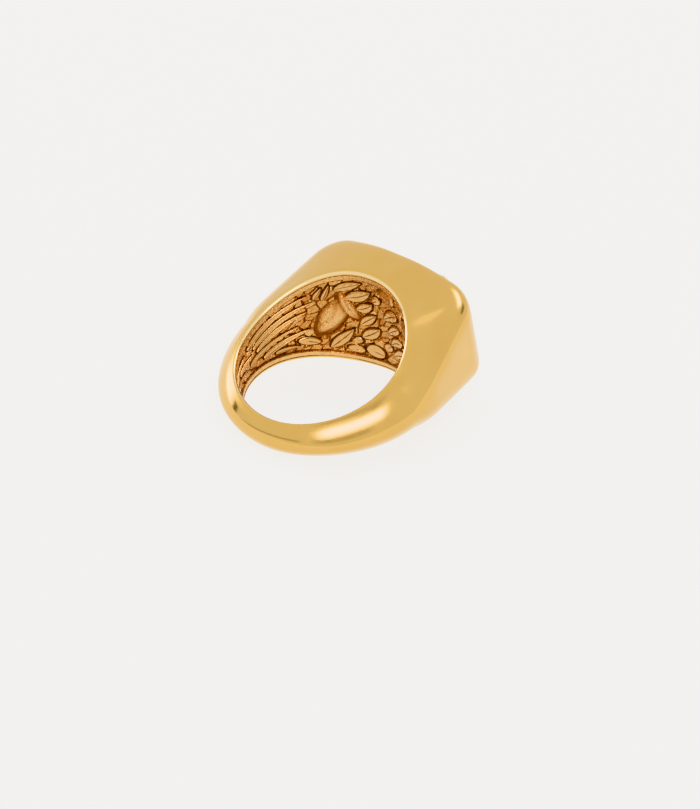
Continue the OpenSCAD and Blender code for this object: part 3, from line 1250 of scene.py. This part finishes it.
@dataclass(frozen=True)
class Glow:
    """A soft-edged patch of the room, brighter or darker than the rest, far from the ring.

    Attributes:
        azimuth: Degrees round, as for sight.
        elevation: Degrees above the horizon.
        spread: Width and height in degrees of its even part.
        soft: Degrees over which it fades at its edges.
        radiance: What it adds to the room's light, negative for a dark cloth.
        turn: Degrees by which its right end is raised.
    """

    azimuth: float
    elevation: float
    spread: tuple[float, float]
    soft: float
    radiance: float
    turn: float = 0.0

    def axes(self) -> tuple[Vector, Vector, Vector]:
        """Unit vectors towards its middle, along its width and along its height."""
        towards, level = sight(self.azimuth, self.elevation), sight(self.azimuth + 90.0, 0.0)
        steep, turn = towards.cross(level), math.radians(self.turn)
        c, s = math.cos(turn), math.sin(turn)
        return towards, level * c + steep * s, steep * c - level * s

    def add_to(
        self, tree: bpy.types.NodeTree, direction: bpy.types.NodeSocket, total: bpy.types.NodeSocket | float
    ) -> bpy.types.NodeSocket:
        """Add the patch to the room's light: the product of a smooth step across each axis.

        Args:
            tree: The world's nodes.
            direction: Direction looked in.
            total: Light so far.

        Returns:
            The light with the patch added.
        """
        ahead, *across = [
            add_node(
                tree, "ShaderNodeVectorMath", {0: direction, 1: tuple(axis)}, operation="DOT_PRODUCT"
            ).outputs["Value"]
            for axis in self.axes()
        ]
        shares = []
        for side, width in zip(across, self.spread):
            angle = add_node(tree, "ShaderNodeMath", {0: side, 1: ahead}, operation="ARCTAN2").outputs[0]
            off = add_node(tree, "ShaderNodeMath", {0: angle}, operation="ABSOLUTE").outputs[0]
            inner = math.radians(width / 2.0)
            fade = {"Value": off, "From Min": inner, "From Max": inner + math.radians(self.soft)}
            fade |= {"To Min": 1.0, "To Max": 0.0}
            made = add_node(tree, "ShaderNodeMapRange", fade, interpolation_type="SMOOTHSTEP")
            shares.append(made.outputs["Result"])
        both = add_node(tree, "ShaderNodeMath", dict(enumerate(shares)), operation="MULTIPLY").outputs[0]
        return add_node(
            tree, "ShaderNodeMath", {0: both, 1: self.radiance, 2: total}, operation="MULTIPLY_ADD"
        ).outputs[0]


@dataclass
class Studio:
    """Pale glowing table, soft light all round with brighter and darker patches, and a top card.

    Attributes:
        table_colour: sRGB hex colour of the table.
        table_glow: Light that the table gives, which leaves only a faint shadow.
        table_size: Its side in metres.
        room_colour: sRGB hex colour of the light all round.
        room_strength: Its strength.
        card_height: Height of the top card in metres.
        card_size: Length and width of the card, as shares of its height.
        card_place: How far it hangs along X and Y, likewise.
        card_turn: Degrees that it is turned.
        card_radiance: Brightness of its face.
        glows: The patches of the room: the long strip before the ring with a dark cloth above and
            below, the tall one at the back left with two dark lines, and the corner one with its
            dark cloth.
    """

    table_colour: str = "#5E5D5C"
    table_glow: float = 0.93
    table_size: float = 4.0
    room_colour: str = "#FFFFFF"
    room_strength: float = 0.95
    card_height: float = 0.5
    card_size: tuple[float, float] = (0.24, 0.05)
    card_place: tuple[float, float] = (0.05, -0.11)
    card_turn: float = 32.0
    card_radiance: float = 0.5
    glows: tuple[Glow, ...] = (
        Glow(-48.0, 37.0, (36.0, 3.0), 10.0, 9.0, turn=14.0),
        Glow(-62.0, 60.0, (30.0, 4.0), 10.0, -0.25, turn=8.0),
        Glow(-52.0, 20.0, (34.0, 3.0), 9.0, -0.3, turn=10.0),
        Glow(-173.0, 10.0, (7.0, 26.0), 10.0, 7.5),
        Glow(-157.0, -5.0, (1.5, 34.0), 4.0, -0.9),
        Glow(-120.0, 5.0, (66.0, 0.6), 3.5, -0.5, turn=12.0),
        Glow(73.0, 56.0, (12.0, 3.0), 8.0, 8.0),
        Glow(50.0, 35.0, (12.0, 6.0), 9.0, -0.6),
    )

    def build(self) -> None:
        """Make the table under the ring's lowest point, the card over it, and the room."""
        self.lay_table(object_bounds()[0].z - 1e-5)
        self.hang_card()
        world = bpy.data.worlds.new("soft_room")
        world.use_nodes = True
        tree = world.node_tree
        tree.nodes.clear()
        direction = add_node(tree, "ShaderNodeTexCoord").outputs["Generated"]
        total: bpy.types.NodeSocket | float = self.room_strength
        for glow in self.glows:
            total = glow.add_to(tree, direction, total)
        light = add_node(
            tree, "ShaderNodeBackground", {"Color": linear(self.room_colour), "Strength": total}
        )
        add_node(tree, "ShaderNodeOutputWorld", {"Surface": light.outputs[0]})
        bpy.context.scene.world = world
        bpy.context.scene.view_settings.view_transform = "Khronos PBR Neutral"

    def lay_table(self, level: float) -> None:
        """Lay the matt table, which gives light of its own.

        Args:
            level: Height of its top in metres.
        """
        made, tree = blank_material("glowing_table")
        looks = {"Base Color": linear(self.table_colour), "Roughness": 0.9, "Specular IOR Level": 0.1}
        looks |= {"Emission Color": linear("#FFFEFC"), "Emission Strength": self.table_glow}
        shader = add_node(tree, "ShaderNodeBsdfPrincipled", looks)
        add_node(tree, "ShaderNodeOutputMaterial", {"Surface": shader.outputs[0]})
        reach = self.table_size / 2.0
        corners = ((-reach, -reach), (reach, -reach), (reach, reach), (-reach, reach))
        mesh = bpy.data.meshes.new("table")
        mesh.from_pydata([(x, y, level) for x, y in corners], [], [(0, 1, 2, 3)])
        mesh.materials.append(made)
        table = bpy.data.objects.new("table", mesh)
        bpy.context.scene.collection.objects.link(table)
        table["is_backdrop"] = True

    def hang_card(self) -> None:
        """Hang a small softbox over the ring. Its power is pi times its area times its radiance."""
        data = bpy.data.lights.new("top_card", "AREA")
        data.shape = "RECTANGLE"
        data.size, data.size_y = (self.card_height * share for share in self.card_size)
        data.energy = math.pi * data.size * data.size_y * self.card_radiance
        card = bpy.data.objects.new("top_card", data)
        place = Vector((*self.card_place, 1.0)) * self.card_height
        turn = Matrix.Rotation(math.radians(self.card_turn), 4, "Z")
        card.matrix_world = Matrix.Translation(place) @ turn
        card.visible_camera = False
        bpy.context.scene.collection.objects.link(card)


def main() -> None:
    """Build the ring piece by piece, then the studio."""
    logging.basicConfig(level=logging.INFO, format="%(name)s: %(message)s")
    form, dresser = RingForm(), Dresser()
    plate = FacePlate(form)
    dresser.dress(OuterShell(form, plate).build(), POLISHED, "outer_shell", "polished_gold")
    dresser.dress(plate.build(), LAPPED, "face_plate", "face_gold")
    lining = Lining(form, MOUNDS, BLADES + LEAVES + STONES + MOUNDS)
    dresser.dress(lining.build(), MATTED, "inner_sleeve", "satin_gold")
    for side in Side:
        wire = RimWire(form, side).build()
        dresser.dress(wire, WIRE, f"rim_wire_{side.name.lower()}", "rim_gold")
    for name, castings in (("blades", BLADES), ("leaves", LEAVES), ("stones", STONES)):
        piece = Relief(form, f"relief_{name}_chased", castings).build()
        dresser.dress(piece, CHASED, f"relief_{name}", "relief_gold")
    Viewpoint().build()
    Studio().build()


if __name__ == "__main__":
    main()
